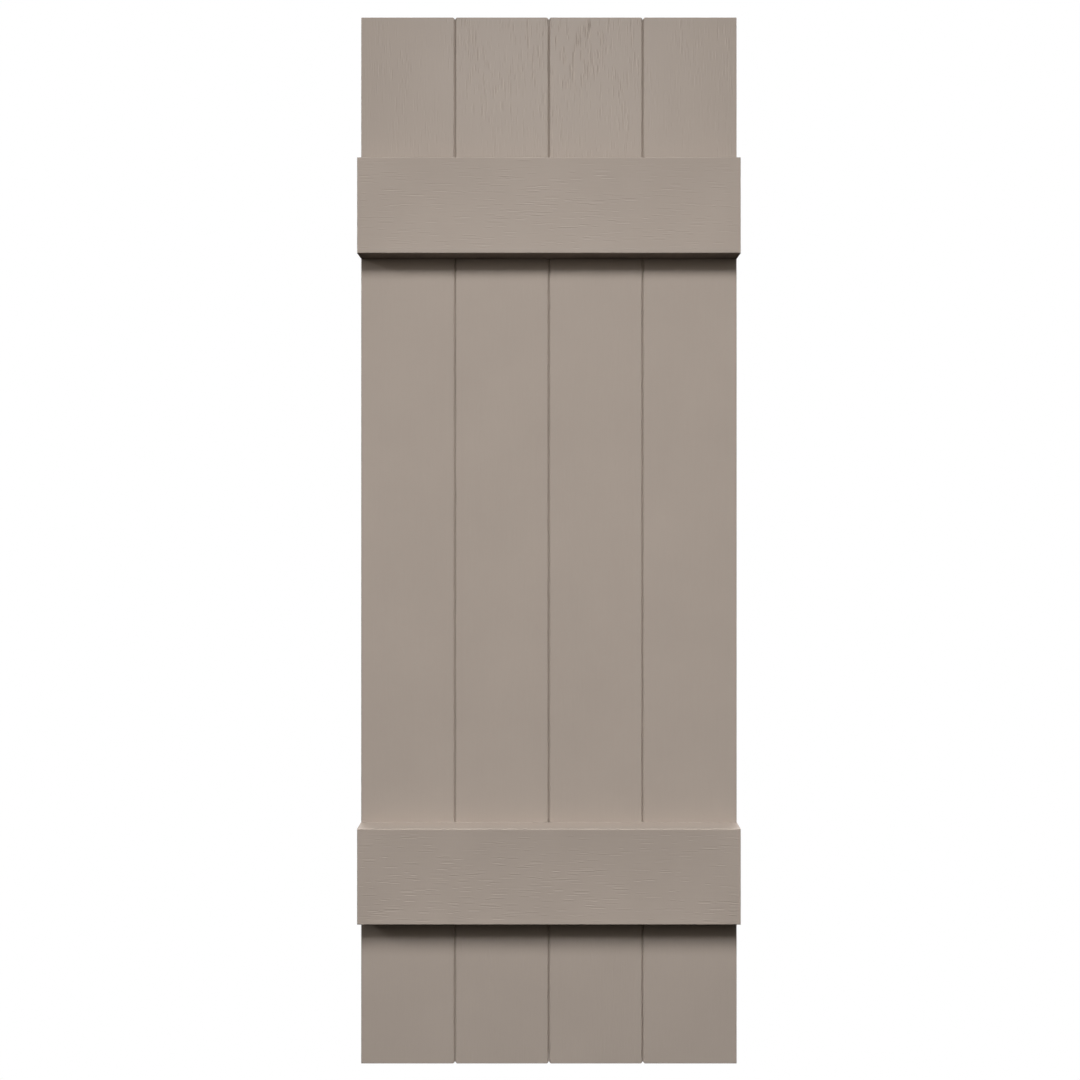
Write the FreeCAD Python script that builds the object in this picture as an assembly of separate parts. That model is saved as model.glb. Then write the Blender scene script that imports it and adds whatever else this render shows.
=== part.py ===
import FreeCAD, Part
import math
import os

# A fixed board and batten shutter of moulded plastic, seen from the front along +Y.
# Four open-backed boards stand side by side and lap at the back; two open-backed battens lie across
# their faces and are screwed on from behind. The back rims lie in the plane y = 0, against the wall,
# and the origin is at the middle of that plane. X runs to the right and Z up. Millimetres.

Vector = FreeCAD.Vector

# Boards
shutter_height = 990.6
board_count = 4
board_width = 88.9
board_depth = 19.05
board_skin = 2.4
board_wall = 2.2
edge_radius = 0.8

# Vee groove between neighbouring boards, and the lip that each board slips behind the next one
groove_width = 2.6
groove_depth = 1.6
groove_edge_radius = 0.4
joint_gap = 0.05
lip_width = 9.0
lip_thickness = 2.5
lip_clearance = 0.5

# Ribs inside the boards and battens
rib_thickness = 1.6
rib_pitch = 125.0
rib_setback = 1.5
board_long_ribs = 1
batten_long_ribs = 1
draft_degrees = 0.75

# Battens
batten_height = 88.9
batten_depth = 19.05
batten_inset = 139.7
batten_skin = 2.4
batten_wall = 2.2
batten_edge_radius = 0.8

# Batten screws: a pair on a slant at every place where a batten crosses a board
screw_spread_x = 42.0
screw_spread_z = 44.0
screw_hole_diameter = 4.6
screw_pad_diameter = 13.0
screw_pad_height = 1.6
boss_diameter = 8.5
pilot_diameter = 3.2

# Places that follow from the sizes above
panel_width = board_count * board_width
board_front = -board_depth
batten_front = board_front - batten_depth
batten_middle = shutter_height / 2 - batten_inset - batten_height / 2


def rounded_outline(corners):
    """A closed wire through corners given as (point, radius); a radius of 0 leaves the corner sharp."""
    arcs = []
    for index, (corner, radius) in enumerate(corners):
        back = (corners[index - 1][0] - corner).normalize()
        ahead = (corners[(index + 1) % len(corners)][0] - corner).normalize()
        half_angle = back.getAngle(ahead) / 2
        start = corner + back * (radius / math.tan(half_angle))
        end = corner + ahead * (radius / math.tan(half_angle))
        centre = corner + (back + ahead).normalize() * (radius / math.sin(half_angle))
        middle = centre + (corner - centre).normalize() * radius if radius else corner
        arcs.append((start, middle, end))
    edges = []
    for index, (start, middle, end) in enumerate(arcs):
        edges.append(Part.LineSegment(arcs[index - 1][2], start).toShape())
        if corners[index][1]:
            edges.append(Part.Arc(start, middle, end).toShape())
    return Part.Wire(edges)


def prism(corners, direction):
    """The outline through corners, filled and swept along direction."""
    return Part.Face(rounded_outline(corners)).extrude(direction)


def box_between(low, high):
    """A block between two opposite corners."""
    size = high - low
    return Part.makeBox(size.x, size.y, size.z, low)


def post(x, z, diameter, y_start, y_end):
    """A round post along Y."""
    return Part.makeCylinder(diameter / 2, y_end - y_start, Vector(x, y_start, z), Vector(0, 1, 0))


def drafted_pocket(x_span, z_span, y_floor, y_mouth):
    """A pocket that opens towards the back, a little wider at its mouth than at its floor."""
    taper = (y_mouth - y_floor) * math.tan(math.radians(draft_degrees))
    (x_low, x_high), (z_low, z_high) = x_span, z_span
    return Part.makeWedge(
        x_low + taper, y_floor, z_low + taper, z_low, x_low,
        x_high - taper, y_mouth, z_high - taper, z_high, x_high,
    )


def spans_between(start, end, rib_places):
    """The clear spans that ribs centred on rib_places leave between start and end."""
    starts = [start] + [place + rib_thickness / 2 for place in rib_places]
    ends = [place - rib_thickness / 2 for place in rib_places] + [end]
    return list(zip(starts, ends))


def even_places(start, end, count):
    """Places that divide start to end evenly."""
    return [start + (end - start) * step / (count + 1) for step in range(1, count + 1)]


def cross_rib_places(length):
    """Heights of a board's cross ribs, out from its middle; the end cells are at least half a pitch long."""
    each_way = int(length / 2 / rib_pitch - 0.5)
    return [step * rib_pitch for step in range(-each_way, each_way + 1)]


def board_middle(index):
    """X of a board's centre line; boards count from the left."""
    return (index + 0.5) * board_width - panel_width / 2


def screw_places(index, batten_z):
    """X and Z of the two screws where a board meets the batten at height batten_z."""
    x = board_middle(index)
    return [(x + side * screw_spread_x / 2, batten_z - side * screw_spread_z / 2) for side in (-1, 1)]


def board_block(index):
    """One board before it is hollowed, with its groove edges, its lip and the rebate for the next lip."""
    left = board_middle(index) - board_width / 2
    right = board_middle(index) + board_width / 2
    groove_floor = board_front + groove_depth
    if index == 0:
        left_side = [(Vector(left, 0), 0), (Vector(left, board_front), edge_radius)]
    else:
        wall = left + joint_gap / 2
        rebate = left + lip_width + lip_clearance
        left_side = [
            (Vector(rebate, 0), 0),
            (Vector(rebate, -lip_thickness), 0),
            (Vector(wall, -lip_thickness), 0),
            (Vector(wall, groove_floor), 0),
            (Vector(left + groove_width / 2, board_front), groove_edge_radius),
        ]
    if index == board_count - 1:
        right_side = [(Vector(right, board_front), edge_radius), (Vector(right, 0), 0)]
    else:
        wall = right - joint_gap / 2
        right_side = [
            (Vector(right - groove_width / 2, board_front), groove_edge_radius),
            (Vector(wall, groove_floor), 0),
            (Vector(wall, -lip_thickness), 0),
            (Vector(right + lip_width, -lip_thickness), 0),
            (Vector(right + lip_width, 0), 0),
        ]
    section = prism(left_side + right_side, Vector(0, 0, shutter_height))
    section.translate(Vector(0, 0, -shutter_height / 2))
    top = shutter_height / 2
    side_view = prism(
        [
            (Vector(left, 0, -top), 0),
            (Vector(left, board_front, -top), edge_radius),
            (Vector(left, board_front, top), edge_radius),
            (Vector(left, 0, top), 0),
        ],
        Vector(board_width + lip_width, 0, 0),
    )
    return section.common(side_view)


def board_pockets(index):
    """The hollows behind a board's face, between its walls and ribs."""
    floor = board_front + board_skin
    side = board_width / 2 - joint_gap / 2 - board_wall
    x_span = (board_middle(index) - side, board_middle(index) + side)
    z_span = (-shutter_height / 2 + board_wall, shutter_height / 2 - board_wall)
    pockets = [
        drafted_pocket(x_cell, z_cell, floor, 0)
        for x_cell in spans_between(*x_span, even_places(*x_span, board_long_ribs))
        for z_cell in spans_between(*z_span, cross_rib_places(z_span[1] - z_span[0]))
    ]
    rib_tops = box_between(Vector(x_span[0], -rib_setback, z_span[0]), Vector(x_span[1], 0, z_span[1]))
    return pockets + [rib_tops]


def make_board(index):
    """A hollow-backed board with a pad and a clearance hole for each batten screw."""
    floor = board_front + board_skin
    pad_top = floor + screw_pad_height
    board = board_block(index).cut(Part.Compound(board_pockets(index)))
    places = screw_places(index, batten_middle) + screw_places(index, -batten_middle)
    wells = [post(x, z, screw_pad_diameter, pad_top, 0) for x, z in places]
    pads = [post(x, z, screw_pad_diameter, floor, pad_top) for x, z in places]
    holes = [post(x, z, screw_hole_diameter, board_front, pad_top) for x, z in places]
    return board.cut(Part.Compound(wells)).fuse(pads).removeSplitter().cut(Part.Compound(holes))


def make_batten(batten_z):
    """A hollow-backed batten that lies across all the boards, with a boss for each screw."""
    low = Vector(-panel_width / 2, batten_front, batten_z - batten_height / 2)
    high = Vector(panel_width / 2, board_front, batten_z + batten_height / 2)
    block = box_between(low, high)
    front_edges = [edge for edge in block.Edges if edge.BoundBox.YMax < batten_front + batten_edge_radius]
    block = block.makeFillet(batten_edge_radius, front_edges)
    floor = batten_front + batten_skin
    x_span = (low.x + batten_wall, high.x - batten_wall)
    z_span = (low.z + batten_wall, high.z - batten_wall)
    joints = [board_middle(index) + board_width / 2 for index in range(board_count - 1)]
    pockets = [
        drafted_pocket(x_cell, z_cell, floor, board_front)
        for x_cell in spans_between(*x_span, joints)
        for z_cell in spans_between(*z_span, even_places(*z_span, batten_long_ribs))
    ]
    places = [place for index in range(board_count) for place in screw_places(index, batten_z)]
    bosses = [post(x, z, boss_diameter, floor, board_front) for x, z in places]
    pilots = [post(x, z, pilot_diameter, floor, board_front) for x, z in places]
    batten = block.cut(Part.Compound(pockets)).fuse(bosses).removeSplitter()
    return batten.cut(Part.Compound(pilots))


def make_parts():
    """Every piece of the shutter by its name."""
    parts = {f"board_{index + 1}": make_board(index) for index in range(board_count)}
    parts["upper_batten"] = make_batten(batten_middle)
    parts["lower_batten"] = make_batten(-batten_middle)
    return parts


os.makedirs("parts", exist_ok=True)
for name, shape in make_parts().items():
    shape.exportStep(f"parts/{name}.step")
    state = "valid" if shape.isValid() else "not valid"
    print(f"{name}: {state}, {len(shape.Solids)} solid, {shape.Volume / 1000:.1f} cm3")
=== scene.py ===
import math

import bmesh
import bpy
import numpy as np
from mathutils import Matrix, Vector


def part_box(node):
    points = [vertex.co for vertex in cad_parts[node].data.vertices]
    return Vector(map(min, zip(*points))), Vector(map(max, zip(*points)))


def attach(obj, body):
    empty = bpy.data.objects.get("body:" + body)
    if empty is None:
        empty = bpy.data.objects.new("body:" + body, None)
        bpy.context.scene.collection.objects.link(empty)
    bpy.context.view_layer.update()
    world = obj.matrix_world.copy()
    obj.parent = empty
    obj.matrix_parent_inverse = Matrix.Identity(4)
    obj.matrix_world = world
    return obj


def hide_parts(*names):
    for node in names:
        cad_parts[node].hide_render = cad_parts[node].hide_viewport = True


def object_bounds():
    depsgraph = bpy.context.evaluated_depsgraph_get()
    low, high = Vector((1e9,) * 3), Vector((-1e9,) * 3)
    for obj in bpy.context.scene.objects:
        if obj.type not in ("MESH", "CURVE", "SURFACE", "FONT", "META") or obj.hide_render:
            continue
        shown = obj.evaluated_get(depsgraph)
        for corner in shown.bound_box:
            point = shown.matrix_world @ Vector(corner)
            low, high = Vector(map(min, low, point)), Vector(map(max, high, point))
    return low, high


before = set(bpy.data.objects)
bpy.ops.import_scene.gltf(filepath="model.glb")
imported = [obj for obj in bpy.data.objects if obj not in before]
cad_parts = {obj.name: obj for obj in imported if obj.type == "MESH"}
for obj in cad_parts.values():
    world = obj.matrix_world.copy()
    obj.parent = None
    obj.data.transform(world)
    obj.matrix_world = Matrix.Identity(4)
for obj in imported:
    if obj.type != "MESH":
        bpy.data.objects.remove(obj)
cad_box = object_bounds()

# Sizes are in metres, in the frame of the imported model: front faces -Y, +Z up, wall plane y = 0.
MM = 0.001
X_AXIS = 0
Z_AXIS = 2
BODY = "root"
BOARDS = ["board_1", "board_2", "board_3", "board_4"]
BATTENS = ["upper_batten", "lower_batten"]
BOARD_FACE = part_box("board_1")[0].y
BOARD_PITCH = (cad_box[1].x - cad_box[0].x) / len(BOARDS)

# The photograph's camera, level and square to the boards
IMAGE_PX = 1080
PANEL_CENTRE_PX = (548.9, 540.5)
FACE_PX_PER_M = 1056.5
CAMERA_TO_FACE = 0.886
CAMERA_RISE = 0.022
CAMERA_NEAR = 0.01
SENSOR_MM = 36

# Embossed wood grain: spacing of the mesh across and along it, and how far it stays from a face's border
FINE_GRID = (0.36 * MM, 1.25 * MM)
COARSE_GRID = (0.45 * MM, 2.5 * MM)
GRAIN_BORDER = 1.0 * MM

# How strong the grain is on each board and batten
BOARD_GRAIN = {"board_1": 0.9, "board_2": 1.7, "board_3": 2.1, "board_4": 1.0}
BATTEN_GRAIN = {"upper_batten": 0.75, "lower_batten": 0.9}

# The open sections of a board's face, from the lowest up: its share of that strength at the bottom and at the
# top of each, and the spacing of the mesh there
SECTION_GRAIN = [(0.14, 0.14), (0.08, 0.08), (0.5, 1.4)]
SECTION_GRID = [COARSE_GRID, COARSE_GRID, FINE_GRID]

# The streaks of a board and of a batten: depth, half width, span of half lengths, number on a square metre,
# how far they lean, how blunt their ends are, and how evenly they spread
BOARD_STREAKS = dict(
    depth=0.1 * MM,
    half_width=0.6 * MM,
    half_length=(2 * MM, 7 * MM),
    per_m2=30000,
    lean=0.003,
    blunt=4,
    spread=-0.2,
)
BATTEN_STREAKS = dict(
    depth=0.1 * MM,
    half_width=0.55 * MM,
    half_length=(2 * MM, 8 * MM),
    per_m2=13000,
    lean=0.002,
    blunt=6,
    spread=0.2,
)

# How much single streaks differ in width and height, how many half widths a streak reaches to each side, and
# the factor that brings the peak of its profile to 1
STREAK_WIDTHS = (0.8, 1.2)
STREAK_HEIGHTS = (0.3, 1.0)
STREAK_REACH = 4
STREAK_PEAK = 2.33

# The streaks come and go in soft patches: how many lie across a face, how long they are and their contrast
PATCHES_ACROSS = 5
PATCH_LENGTH = 60 * MM
PATCH_CONTRAST = 2

# The battens' faces sink a little between their ends and ribs: how deep, what share of that is left at a rib,
# how narrow a rib's hold is, and how far an end's hold reaches
SINK_DEPTH = 1.1 * MM
SINK_AT_RIB = 0.55
RIB_SHARPNESS = 4
SINK_END = 40 * MM

# The battens' sides, behind their rounded front edges, are painted darker than their faces: painted shade
# that dims the lit top ledge and the underside
BATTEN_ROUND = 0.8 * MM
SIDE_PAINTED_SHADE = 1.3

# The vee grooves between boards, and the notches that their ends make in the boards' top and bottom edges
GROOVE_WIDTH = 2.6 * MM
GROOVE_DEPTH = 1.6 * MM
NOTCH_REACH = 1.5 * MM
NOTCH_DROP = 1.6 * MM
NOTCH_FULL_DEPTH = GROOVE_DEPTH / 2

# How far a board's grain runs on under a batten
GRAIN_UNDER_BATTEN = 2 * MM

# Points closer than this are one, and a face whose normal has more than this along Z is an end face
TOUCH = 2e-6
END_FACE_LEAN = 0.5

# Taupe plastic: its darkest and lightest tone, where between them it starts, and how far the painted shade
# and highlight (darker where the grain is pressed in and on the battens' sides, lighter on the grain's
# ridges), the fine streaks and the clouds move it; the scale along the grain that draws out the streaks; the
# gloss
TAUPE_DARK = (0.336, 0.288, 0.2515, 1)
TAUPE_LIGHT = (0.446, 0.382, 0.3335, 1)
TONE_START = 0.265
PAINTED_SHADE_SHARE = -0.3
STREAK_TONE = 0.12
CLOUD_TONE = 0.35
STREAK_STRETCH = 0.05
PLASTIC_SPECULAR = 0.06
PLASTIC_ROUGHNESS = (0.27, 0.37)

# Zinc-plated steel
ZINC_DARK = (0.50, 0.48, 0.43, 1)
ZINC_LIGHT = (0.68, 0.67, 0.63, 1)
ZINC_ROUGHNESS = (0.25, 0.45)

# The floor, below the picture, ends behind the shutter before the camera would see it
FLOOR_Z = -0.8
FLOOR_SIDE = 2.0
FLOOR_DEPTH = (-2.2, 0.4)
FLOOR_COLOUR = (0.9, 0.9, 0.9, 1)
FLOOR_ROUGHNESS = 0.9
FLOOR_GLOW = 0.7

# Light colours
WHITE = (1.0, 1.0, 1.0)
WARM = (1.0, 0.92, 0.82)

# How far inside its border a flat front is cut, and the angle from which an edge is drawn sharp
FLAT_BORDER = 0.4 * MM
SHARP_ANGLE = math.radians(50)

# Batten screws, as the pads behind the boards and the bosses in the battens take them; the profile of a screw
# is its radius and height in millimetres, from the shank to the top of the head
SCREW_SPREAD = (42 * MM, 44 * MM)
SCREW_SEAT = BOARD_FACE + 4.0 * MM
SCREW_SIDES = 32
SCREW_PROFILE = [
    (1.5, -14.5), (1.5, 0), (4.2, 0), (4.2, 0.6), (4.05, 1.25), (3.65, 1.8), (3.1, 2.2), (2.6, 2.4),
]
SCREW_TIP = -18 * MM
CROSS_ARM = 2.1 * MM
CROSS_WIDTH = 0.55 * MM
CROSS_DEPTH = 1.5 * MM
CROSS_TAPER = 0.45


# Materials

def node_material(name):
    """A new material with its Principled shader and helpers that add and link nodes."""
    material = bpy.data.materials.new(name)
    material.use_nodes = True
    tree = material.node_tree
    shader = tree.nodes["Principled BSDF"]

    def add(kind, **settings):
        node = tree.nodes.new(kind)
        for key, value in settings.items():
            if key in node.inputs:
                node.inputs[key].default_value = value
            else:
                setattr(node, key, value)
        return node

    return material, shader, add, tree.links.new


def moulded_plastic(name, grain_axis):
    """Satin taupe plastic, coloured through, with faint streaks along the grain and a fine moulded skin."""
    material, shader, add, link = node_material(name)
    place = add("ShaderNodeTexCoord")
    stretch = [1.0, 1.0, 1.0]
    stretch[grain_axis] = STREAK_STRETCH
    along = add("ShaderNodeMapping")
    along.inputs["Scale"].default_value = stretch
    link(place.outputs["Object"], along.inputs["Vector"])

    streaks = add("ShaderNodeTexNoise", Scale=700.0, Detail=4.0, Roughness=0.6)
    link(along.outputs["Vector"], streaks.inputs["Vector"])
    clouds = add("ShaderNodeTexNoise", Scale=14.0, Detail=3.0, Roughness=0.55)
    link(place.outputs["Object"], clouds.inputs["Vector"])
    skin = add("ShaderNodeTexNoise", Scale=2600.0, Detail=2.0, Roughness=0.5)
    link(place.outputs["Object"], skin.inputs["Vector"])

    # Painted shade and highlight: the grain attribute darkens the colour where the grain is pressed in and on
    # the battens' sides, and lightens it on the grain's ridges
    grain = add("ShaderNodeAttribute", attribute_name="grain")
    tone = None
    for source, share in ((grain, PAINTED_SHADE_SHARE), (streaks, STREAK_TONE), (clouds, CLOUD_TONE)):
        term = add("ShaderNodeMath", operation="MULTIPLY_ADD")
        link(source.outputs["Fac"], term.inputs[0])
        term.inputs[1].default_value = share
        if tone:
            link(tone.outputs[0], term.inputs[2])
        else:
            term.inputs[2].default_value = TONE_START
        tone = term
    colour = add("ShaderNodeValToRGB")
    colour.color_ramp.elements[0].color = TAUPE_DARK
    colour.color_ramp.elements[1].color = TAUPE_LIGHT
    link(tone.outputs[0], colour.inputs["Fac"])
    link(colour.outputs["Color"], shader.inputs["Base Color"])
    shader.inputs["Specular IOR Level"].default_value = PLASTIC_SPECULAR

    gloss = add("ShaderNodeMapRange")
    gloss.inputs["To Min"].default_value = PLASTIC_ROUGHNESS[0]
    gloss.inputs["To Max"].default_value = PLASTIC_ROUGHNESS[1]
    link(streaks.outputs["Fac"], gloss.inputs["Value"])
    link(gloss.outputs["Result"], shader.inputs["Roughness"])

    fibres = add("ShaderNodeBump", Strength=0.25, Distance=0.12 * MM)
    link(streaks.outputs["Fac"], fibres.inputs["Height"])
    pores = add("ShaderNodeBump", Strength=0.15, Distance=0.04 * MM)
    link(skin.outputs["Fac"], pores.inputs["Height"])
    link(fibres.outputs["Normal"], pores.inputs["Normal"])
    link(pores.outputs["Normal"], shader.inputs["Normal"])
    return material


def zinc_steel():
    """Zinc-plated steel with a cloudy yellowish passivation."""
    material, shader, add, link = node_material("zinc_steel")
    place = add("ShaderNodeTexCoord")
    clouds = add("ShaderNodeTexNoise", Scale=900.0, Detail=3.0)
    link(place.outputs["Object"], clouds.inputs["Vector"])
    colour = add("ShaderNodeValToRGB")
    colour.color_ramp.elements[0].color = ZINC_DARK
    colour.color_ramp.elements[1].color = ZINC_LIGHT
    link(clouds.outputs["Fac"], colour.inputs["Fac"])
    link(colour.outputs["Color"], shader.inputs["Base Color"])
    gloss = add("ShaderNodeMapRange")
    gloss.inputs["To Min"].default_value = ZINC_ROUGHNESS[0]
    gloss.inputs["To Max"].default_value = ZINC_ROUGHNESS[1]
    link(clouds.outputs["Fac"], gloss.inputs["Value"])
    link(gloss.outputs["Result"], shader.inputs["Roughness"])
    shader.inputs["Metallic"].default_value = 1.0
    return material


# Grain

def smooth_field(rng, shape, cells):
    """A smooth random field from 0 to 1 over an array of that shape, with about cells lumps each way."""
    coarse = rng.random((cells[0] + 1, cells[1] + 1))
    rows = np.linspace(0, cells[0], shape[0])
    columns = np.linspace(0, cells[1], shape[1])
    across = np.array([np.interp(columns, np.arange(cells[1] + 1), row) for row in coarse])
    return np.array([np.interp(rows, np.arange(cells[0] + 1), column) for column in across.T]).T


def groove_and_ridge(offset):
    """A streak's profile, by the distance from its middle in half widths: a groove with a ridge beside it."""
    return STREAK_PEAK * offset * np.exp(-offset ** 2)


class Grain:
    """Embossed streaks over a face, as a raster across and along the grain: above 0 they are pressed in."""

    step_across = 0.2 * MM
    step_along = 1.0 * MM
    # Steps from the raster's end to the last place that still has a neighbour beyond it
    end_margin = 1.001

    def __init__(self, width, length, seed, strength, streaks):
        self.rng = np.random.default_rng(seed)
        self.streaks = streaks
        self.size = np.array([width, length])
        self.shape = (int(width / self.step_across) + 2, int(length / self.step_along) + 2)
        self.relief = np.zeros(self.shape)
        cells = (PATCHES_ACROSS, int(length / PATCH_LENGTH) + 2)
        patches = smooth_field(self.rng, self.shape, cells)
        for _ in range(int(streaks["per_m2"] * width * length)):
            self.press_streak(patches)
        self.relief = np.clip(self.relief, -1, 1) * strength

    def press_streak(self, patches):
        """Adds one tapered streak, stronger where the patches say."""
        rng, streaks = self.rng, self.streaks
        across, along = rng.uniform(0, self.size)
        half_length = rng.uniform(*streaks["half_length"])
        half_width = rng.uniform(*STREAK_WIDTHS) * streaks["half_width"]
        lean = rng.normal(0, streaks["lean"])
        height = rng.uniform(*STREAK_HEIGHTS) * rng.choice((-1, 1))
        low = max(int((across - STREAK_REACH * half_width) / self.step_across), 0)
        high = min(int((across + STREAK_REACH * half_width) / self.step_across) + 2, self.shape[0])
        start = max(int((along - half_length) / self.step_along), 0)
        end = min(int((along + half_length) / self.step_along) + 2, self.shape[1])
        u = np.arange(low, high)[:, None] * self.step_across
        v = np.arange(start, end)[None, :] * self.step_along - along
        taper = np.clip(1 - np.abs(v / half_length) ** streaks["blunt"], 0, 1)
        offset = (u - across - lean * v) / half_width
        line = groove_and_ridge(offset) * taper
        patch = np.clip(patches[low:high, start:end] * PATCH_CONTRAST + streaks["spread"], 0, 1)
        self.relief[low:high, start:end] += height * line * patch

    def at(self, across, along):
        """The relief at every crossing of the lines across and along, fading out at the face's border."""
        u = np.clip(across / self.step_across, 0, self.shape[0] - self.end_margin)
        v = np.clip(along / self.step_along, 0, self.shape[1] - self.end_margin)
        i, j = u.astype(int), v.astype(int)
        s, t = (u - i)[:, None], (v - j)[None, :]
        near = self.relief[np.ix_(i, j)] * (1 - t) + self.relief[np.ix_(i, j + 1)] * t
        far = self.relief[np.ix_(i + 1, j)] * (1 - t) + self.relief[np.ix_(i + 1, j + 1)] * t
        to_side = np.minimum(across, self.size[0] - across)[:, None]
        to_end = np.minimum(along, self.size[1] - along)[None, :]
        fade = np.clip(np.minimum(to_side, to_end) / GRAIN_BORDER, 0, 1)
        return (near * (1 - s) + far * s) * fade


# Mesh

def front_faces(bm, front):
    """The flat faces that lie in the plane y = front."""
    return [face for face in bm.faces if all(abs(vert.co.y - front) < TOUCH for vert in face.verts)]


def cut_at(bm, faces, axis, place):
    """Cuts faces where they cross a place on an axis."""
    edges = {edge for face in faces for edge in face.edges}
    verts = {vert for face in faces for vert in face.verts}
    normal = Vector(index == axis for index in range(3))
    bmesh.ops.bisect_plane(
        bm, geom=[*faces, *edges, *verts], dist=TOUCH, plane_co=normal * place, plane_no=normal
    )


def split_edge(edge, axis, places):
    """Splits a straight edge along an axis at each place that lies between its ends."""
    start, end = sorted(edge.verts, key=lambda vert: vert.co[axis])
    for place in places:
        if start.co[axis] + TOUCH < place < end.co[axis] - TOUCH:
            share = (place - start.co[axis]) / (end.co[axis] - start.co[axis])
            start = bmesh.utils.edge_split(edge, start, share)[1]


def lines_along(edges, level):
    """Groups the edges that keep to one place on the axis level, by that place."""

    def place(edge):
        return edge.verts[0].co[level]

    level_edges = [edge for edge in edges if abs(place(edge) - edge.verts[1].co[level]) < TOUCH]
    lines = []
    for edge in sorted(level_edges, key=place):
        if lines and place(edge) - place(lines[-1][0]) < TOUCH:
            lines[-1].append(edge)
        else:
            lines.append([edge])
    return lines


def stitch(bm):
    """Joins open borders that lie on each other, by giving each the vertices of both."""
    open_edges = [edge for edge in bm.edges if edge.is_boundary]
    for axis, level in ((X_AXIS, Z_AXIS), (Z_AXIS, X_AXIS)):
        for line in lines_along(open_edges, level):
            places = sorted({vert.co[axis] for edge in line for vert in edge.verts})
            for edge in line:
                split_edge(edge, axis, places)
    open_verts = [vert for vert in bm.verts if vert.is_boundary]
    bmesh.ops.remove_doubles(bm, verts=open_verts, dist=TOUCH)


def painted_shade_layer(bm):
    """The layer that holds each vertex's value for the painted shade: the grain's relief, darker where
    pressed in and lighter on its ridges, and the battens' darker sides.
    """
    return bm.verts.layers.float.get("grain") or bm.verts.layers.float.new("grain")


def regrid(bm, front, low, high, steps, shape):
    """Replaces the flat front faces between two corners by an even grid.

    The function shape(xs, zs) gives how far each point is pressed in, and its grain, which the colour turns
    into painted shade where it is pressed in and painted highlight on its ridges.
    """
    flat = []
    for face in front_faces(bm, front):
        middle = face.calc_center_median()
        if low.x < middle.x < high.x and low.z < middle.z < high.z:
            flat.append(face)
    bmesh.ops.delete(bm, geom=flat, context="FACES")
    xs = np.linspace(low.x, high.x, round((high.x - low.x) / steps[0]) + 1)
    zs = np.linspace(low.z, high.z, round((high.z - low.z) / steps[1]) + 1)
    layer = painted_shade_layer(bm)
    columns = []
    for x, depths, tones in zip(xs, *shape(xs - low.x, zs - low.z)):
        column = [bm.verts.new((x, front + depth, z)) for depth, z in zip(depths, zs)]
        for vert, tone in zip(column, tones):
            vert[layer] = tone
        columns.append(column)
    for left, right in zip(columns, columns[1:]):
        for step in range(len(zs) - 1):
            bm.faces.new((left[step], right[step], right[step + 1], left[step + 1]))
    stitch(bm)


def copy_of(node_name):
    """A bmesh copy of a CAD node, cut right through round its flat front, and the corners inside the cuts.

    The cuts also end the long faces of its rounds short of the rounds at their ends, for even shading.
    """
    bm = bmesh.new()
    bm.from_mesh(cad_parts[node_name].data)
    bmesh.ops.remove_doubles(bm, verts=bm.verts, dist=TOUCH)
    front = min(vert.co.y for vert in bm.verts)
    corners = [vert.co for face in front_faces(bm, front) for vert in face.verts]
    border = Vector((FLAT_BORDER, 0, FLAT_BORDER))
    low = Vector(min(corner[axis] for corner in corners) for axis in range(3)) + border
    high = Vector(max(corner[axis] for corner in corners) for axis in range(3)) - border
    for axis in (X_AXIS, Z_AXIS):
        for place in (low[axis], high[axis]):
            cut_at(bm, bm.faces, axis, place)
    return bm, front, low, high


def notch_groove_ends(bm, front):
    """Draws in the ends of a board's groove flanks, which leaves a small notch at each end of a groove."""
    for vert in bm.verts:
        joint = round((vert.co.x - cad_box[0].x) / BOARD_PITCH)
        from_joint = abs(vert.co.x - cad_box[0].x - joint * BOARD_PITCH)
        depth = vert.co.y - front
        in_groove = from_joint < GROOVE_WIDTH / 2 and depth < GROOVE_DEPTH + TOUCH
        at_end = cad_box[1].z - abs(vert.co.z) < NOTCH_REACH
        if 0 < joint < len(BOARDS) and in_groove and at_end:
            vert.co.z -= math.copysign(NOTCH_DROP * min(depth / NOTCH_FULL_DEPTH, 1), vert.co.z)
            end_faces = [face for face in vert.link_faces if abs(face.normal.z) > END_FACE_LEAN]
            for edge in {edge for face in end_faces for edge in face.edges}:
                edge.smooth = False


def new_piece(name, bm, material):
    """An object from a bmesh, with smooth rounds and crisp edges, riding on the shutter."""
    for face in bm.faces:
        face.smooth = True
    for edge in bm.edges:
        edge.smooth = edge.smooth and edge.is_manifold and edge.calc_face_angle() < SHARP_ANGLE
    mesh = bpy.data.meshes.new(name)
    bm.to_mesh(mesh)
    bm.free()
    cad_normals = mesh.attributes.get("custom_normal")
    if cad_normals:
        mesh.attributes.remove(cad_normals)
    mesh.materials.append(material)
    piece = bpy.data.objects.new(name, mesh)
    bpy.context.scene.collection.objects.link(piece)
    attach(piece, BODY)
    return piece


# Pieces

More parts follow.
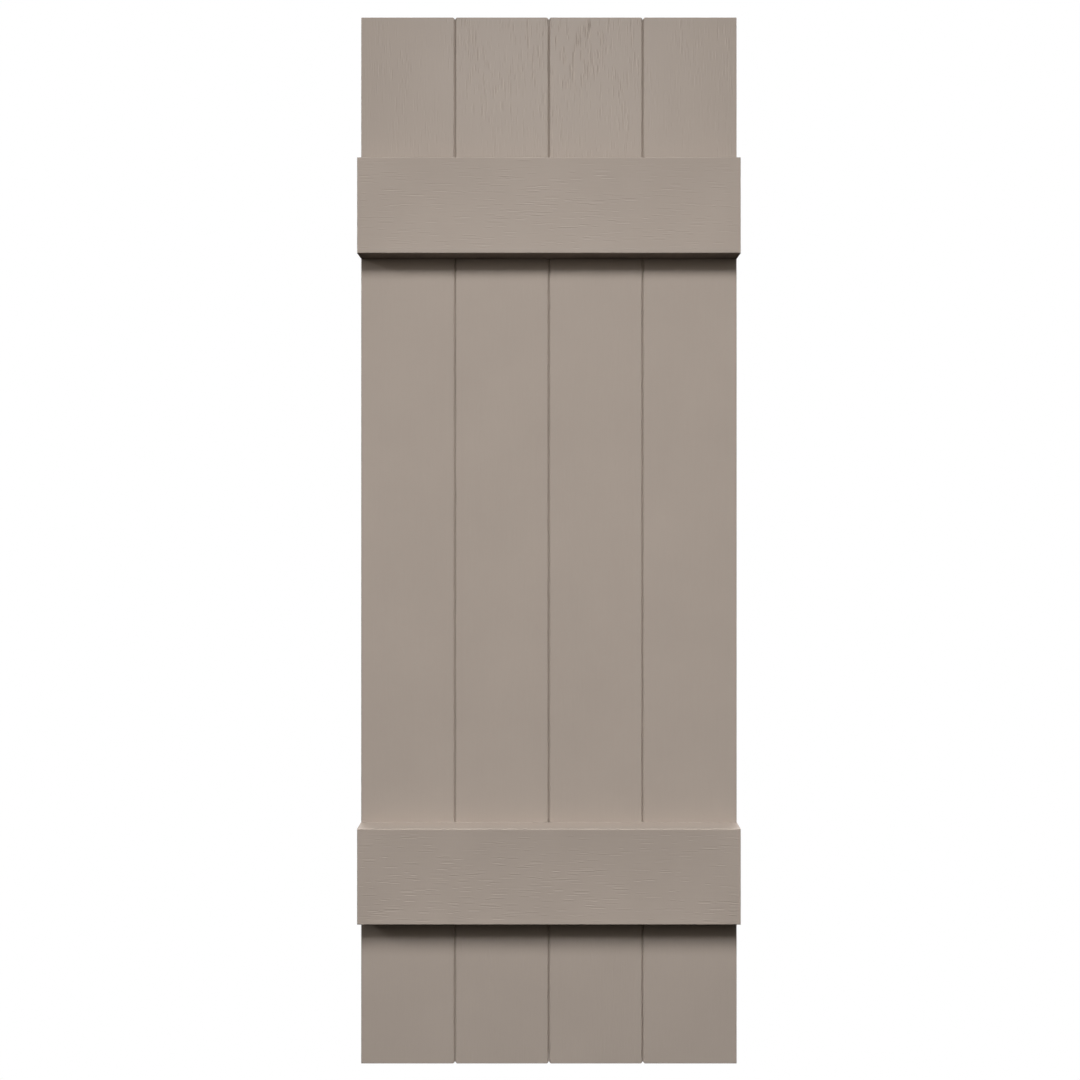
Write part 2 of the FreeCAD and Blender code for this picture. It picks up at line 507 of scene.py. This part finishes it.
def make_board(name, seed, material):
    """A board with upright grain pressed into what the battens leave open of its face."""
    bm, front, low, high = copy_of(name)
    notch_groove_ends(bm, front)
    levels = [low.z, high.z]
    for batten in BATTENS:
        under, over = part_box(batten)
        levels += [under.z + GRAIN_UNDER_BATTEN, over.z - GRAIN_UNDER_BATTEN]
    levels.sort()
    for level in levels[1:-1]:
        cut_at(bm, front_faces(bm, front), Z_AXIS, level)
    sections = zip(levels[::2], levels[1::2], SECTION_GRAIN, SECTION_GRID)
    for number, (bottom, top, shares, grid) in enumerate(sections):
        grain = Grain(high.x - low.x, top - bottom, (seed, number), BOARD_GRAIN[name], BOARD_STREAKS)

        def shape(xs, zs, grain=grain, shares=shares):
            relief = grain.at(xs, zs) * np.interp(zs, (zs[0], zs[-1]), shares)
            # The relief also goes to the colour, as painted shade in the pressed grain and painted highlight
            # on its ridges
            return BOARD_STREAKS["depth"] * relief, relief

        corners = Vector((low.x, front, bottom)), Vector((high.x, front, top))
        regrid(bm, front, *corners, grid, shape)
    piece = new_piece(name + "_moulding", bm, material)
    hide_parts(name)


def make_batten(name, seed, material):
    """A batten with level grain pressed into its face, which is a little sunk between its ends and ribs."""
    bm, front, low, high = copy_of(name)
    layer = painted_shade_layer(bm)
    # Painted shade: every vertex behind the rounded front edge gets a darker tone, so the top ledge and the
    # underside read darker than their light makes them
    for vert in bm.verts:
        vert[layer] = SIDE_PAINTED_SHADE if vert.co.y > front + BATTEN_ROUND - TOUCH else 0
    width, length = high.z - low.z, high.x - low.x
    grain = Grain(width, length, (seed, 0), BATTEN_GRAIN[name], BATTEN_STREAKS)

    def shape(xs, zs):
        relief = grain.at(zs, xs).T
        hollow = 1 - (2 * zs / width - 1) ** 2
        at_rib = np.cos(math.pi * (xs + low.x) / BOARD_PITCH) ** 2
        held = np.clip(np.minimum(xs, length - xs) / SINK_END, 0, 1)
        sink = SINK_DEPTH * (1 - (1 - SINK_AT_RIB) * at_rib ** RIB_SHARPNESS) * held * held * (3 - 2 * held)
        # The relief also goes to the colour, as painted shade in the pressed grain and painted highlight on
        # its ridges
        return BATTEN_STREAKS["depth"] * relief + sink[:, None] * hollow[None, :], relief

    regrid(bm, front, low, high, FINE_GRID[::-1], shape)
    piece = new_piece(name + "_moulding", bm, material)
    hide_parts(name)


def ring_at(bm, radius, height, sides):
    """A ring of vertices round the Y axis."""
    angles = [2 * math.pi * side / sides for side in range(sides)]
    return [bm.verts.new((radius * math.cos(a), height, radius * math.sin(a))) for a in angles]


def cross_at(bm, scale, height):
    """The outline of a cross recess, round the Y axis."""
    arm, half = CROSS_ARM * scale, CROSS_WIDTH * scale
    quarter = [(arm, -half), (arm, half), (half, half)]
    corners = []
    for turn in range(4):
        spin = Matrix.Rotation(turn * math.pi / 2, 2)
        corners += [spin @ Vector(corner) for corner in quarter]
    return [bm.verts.new((corner.x, height, corner.y)) for corner in corners]


def band(bm, near, far):
    """Faces between two loops of as many vertices."""
    for side in range(len(near)):
        after = (side + 1) % len(near)
        bm.faces.new((near[side], near[after], far[after], far[side]))


def screw_mesh():
    """A pan-head screw with a cross recess: its head's seat is at y = 0, and its tip points to the front."""
    bm = bmesh.new()
    rings = [ring_at(bm, radius * MM, height * MM, SCREW_SIDES) for radius, height in SCREW_PROFILE]
    tip = bm.verts.new((0, SCREW_TIP, 0))
    for side in range(SCREW_SIDES):
        bm.faces.new((tip, rings[0][side], rings[0][(side + 1) % SCREW_SIDES]))
    for near, far in zip(rings, rings[1:]):
        band(bm, near, far)
    top = SCREW_PROFILE[-1][1] * MM
    mouth = cross_at(bm, 1.0, top)
    floor = cross_at(bm, CROSS_TAPER, top - CROSS_DEPTH)
    band(bm, mouth, floor)
    bm.faces.new(floor)
    rim = [edge for edge in bm.edges if edge.is_boundary]
    bmesh.ops.triangle_fill(bm, use_beauty=True, use_dissolve=False, edges=rim)
    bmesh.ops.recalc_face_normals(bm, faces=bm.faces)
    mesh = bpy.data.meshes.new("screw")
    bm.to_mesh(mesh)
    bm.free()
    return mesh


def make_screws(batten, seed, screw, material):
    """The screws that hold a batten: two on a slant through each board, turned as they happened to stop."""
    rng = np.random.default_rng(seed)
    low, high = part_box(batten)
    middle = (low.z + high.z) / 2
    bm = bmesh.new()
    for board in range(len(BOARDS)):
        x = low.x + (board + 0.5) * BOARD_PITCH
        for side in (-0.5, 0.5):
            place = Vector((x + side * SCREW_SPREAD[0], SCREW_SEAT, middle - side * SCREW_SPREAD[1]))
            turned = screw.copy()
            turned.transform(Matrix.Translation(place) @ Matrix.Rotation(rng.uniform(0, math.pi), 4, "Y"))
            bm.from_mesh(turned)
            bpy.data.meshes.remove(turned)
    new_piece(batten + "_screws", bm, material)


# Stage

def make_camera():
    """The photograph's view, with the frame shifted to where it has the shutter."""
    data = bpy.data.cameras.new("camera")
    data.sensor_width = SENSOR_MM
    data.lens = FACE_PX_PER_M * CAMERA_TO_FACE * SENSOR_MM / IMAGE_PX
    horizon_px = PANEL_CENTRE_PX[1] - CAMERA_RISE * FACE_PX_PER_M
    data.shift_x = 0.5 - PANEL_CENTRE_PX[0] / IMAGE_PX
    data.shift_y = horizon_px / IMAGE_PX - 0.5
    data.clip_start = CAMERA_NEAR
    camera = bpy.data.objects.new("camera", data)
    camera.location = (0, BOARD_FACE - CAMERA_TO_FACE, CAMERA_RISE)
    camera.rotation_euler = (math.pi / 2, 0, 0)
    bpy.context.scene.collection.objects.link(camera)
    bpy.context.scene.camera = camera


def softbox(name, place, aim, size, watts, colour=WHITE, even=False):
    """A rectangular soft light at a place, turned to a point; an even one doesn't fade with distance."""
    data = bpy.data.lights.new(name, "AREA")
    data.shape = "RECTANGLE"
    data.size, data.size_y = size
    data.energy = watts
    data.color = colour
    if even:
        data.use_nodes = True
        nodes, link = data.node_tree.nodes, data.node_tree.links.new
        reach = nodes.new("ShaderNodeLightFalloff")
        reach.inputs["Strength"].default_value = 1.0
        link(reach.outputs["Constant"], nodes["Emission"].inputs["Strength"])
    light = bpy.data.objects.new(name, data)
    light.location = place
    light.rotation_euler = (Vector(aim) - Vector(place)).to_track_quat("-Z", "Y").to_euler()
    bpy.context.scene.collection.objects.link(light)
    return light


def make_lights():
    """A softbox overhead in front, a small one far to the left, weak fills, and two for the back."""
    softbox(
        "overhead", place=(0, -1.07, 1.03), aim=(0, -1.07, 0), size=(0.5, 0.68), watts=13.2, even=True
    )
    softbox(
        "left_kicker", place=(-1.82, -0.82, 0.905), aim=(0, 0, 0), size=(0.15, 0.15), watts=1.7, even=True
    )
    front_fill = softbox(
        "front_fill", place=(0, -1.3, 0.35), aim=(0, 0, 0), size=(1.6, 0.6), watts=2.8, colour=WARM
    )
    top_fill = softbox("top_fill", place=(0, -1.3, 0.9), aim=(0, 0, 0.3), size=(1.6, 0.4), watts=3.0)
    for name, x in (("back_left", -1.1), ("back_right", 1.1)):
        softbox(name, place=(x, 1.7, 1.2), aim=(0, 0, 0), size=(1.4, 1.4), watts=45.0)
    for fill in (front_fill, top_fill):
        fill.visible_glossy = False


def make_floor():
    """A plain floor, pale from every side, that throws no light back at the shutter."""
    material, shader, _, _ = node_material("floor")
    shader.inputs["Base Color"].default_value = FLOOR_COLOUR
    shader.inputs["Roughness"].default_value = FLOOR_ROUGHNESS
    shader.inputs["Emission Color"].default_value = (*WHITE, 1)
    shader.inputs["Emission Strength"].default_value = FLOOR_GLOW
    front, back = FLOOR_DEPTH
    corners = [(-FLOOR_SIDE, front), (FLOOR_SIDE, front), (FLOOR_SIDE, back), (-FLOOR_SIDE, back)]
    mesh = bpy.data.meshes.new("floor")
    mesh.from_pydata([(x, y, FLOOR_Z) for x, y in corners], [], [(0, 1, 2, 3)])
    mesh.materials.append(material)
    floor = bpy.data.objects.new("floor", mesh)
    floor.visible_diffuse = False
    floor.visible_glossy = False
    bpy.context.scene.collection.objects.link(floor)


def make_world():
    """White where the camera sees past the object, with no light from it."""
    world = bpy.data.worlds.new("world")
    world.use_nodes = True
    nodes, link = world.node_tree.nodes, world.node_tree.links.new
    unlit = nodes["Background"]
    unlit.inputs["Strength"].default_value = 0.0
    white = nodes.new("ShaderNodeBackground")
    white.inputs["Color"].default_value = (*WHITE, 1)
    white.inputs["Strength"].default_value = 1.0
    rays = nodes.new("ShaderNodeLightPath")
    mix = nodes.new("ShaderNodeMixShader")
    link(rays.outputs["Is Camera Ray"], mix.inputs["Fac"])
    link(unlit.outputs["Background"], mix.inputs[1])
    link(white.outputs["Background"], mix.inputs[2])
    link(mix.outputs["Shader"], nodes["World Output"].inputs["Surface"])
    bpy.context.scene.world = world


make_camera()
make_world()
bpy.context.scene.view_settings.view_transform = "Standard"
make_lights()
make_floor()

board_plastic = moulded_plastic("board_plastic", grain_axis=Z_AXIS)
batten_plastic = moulded_plastic("batten_plastic", grain_axis=X_AXIS)
for seed, name in enumerate(BOARDS):
    make_board(name, seed, board_plastic)
for seed, name in enumerate(BATTENS, start=len(BOARDS)):
    make_batten(name, seed, batten_plastic)
steel = zinc_steel()
screw = screw_mesh()
for seed, name in enumerate(BATTENS):
    make_screws(name, seed, screw, steel)
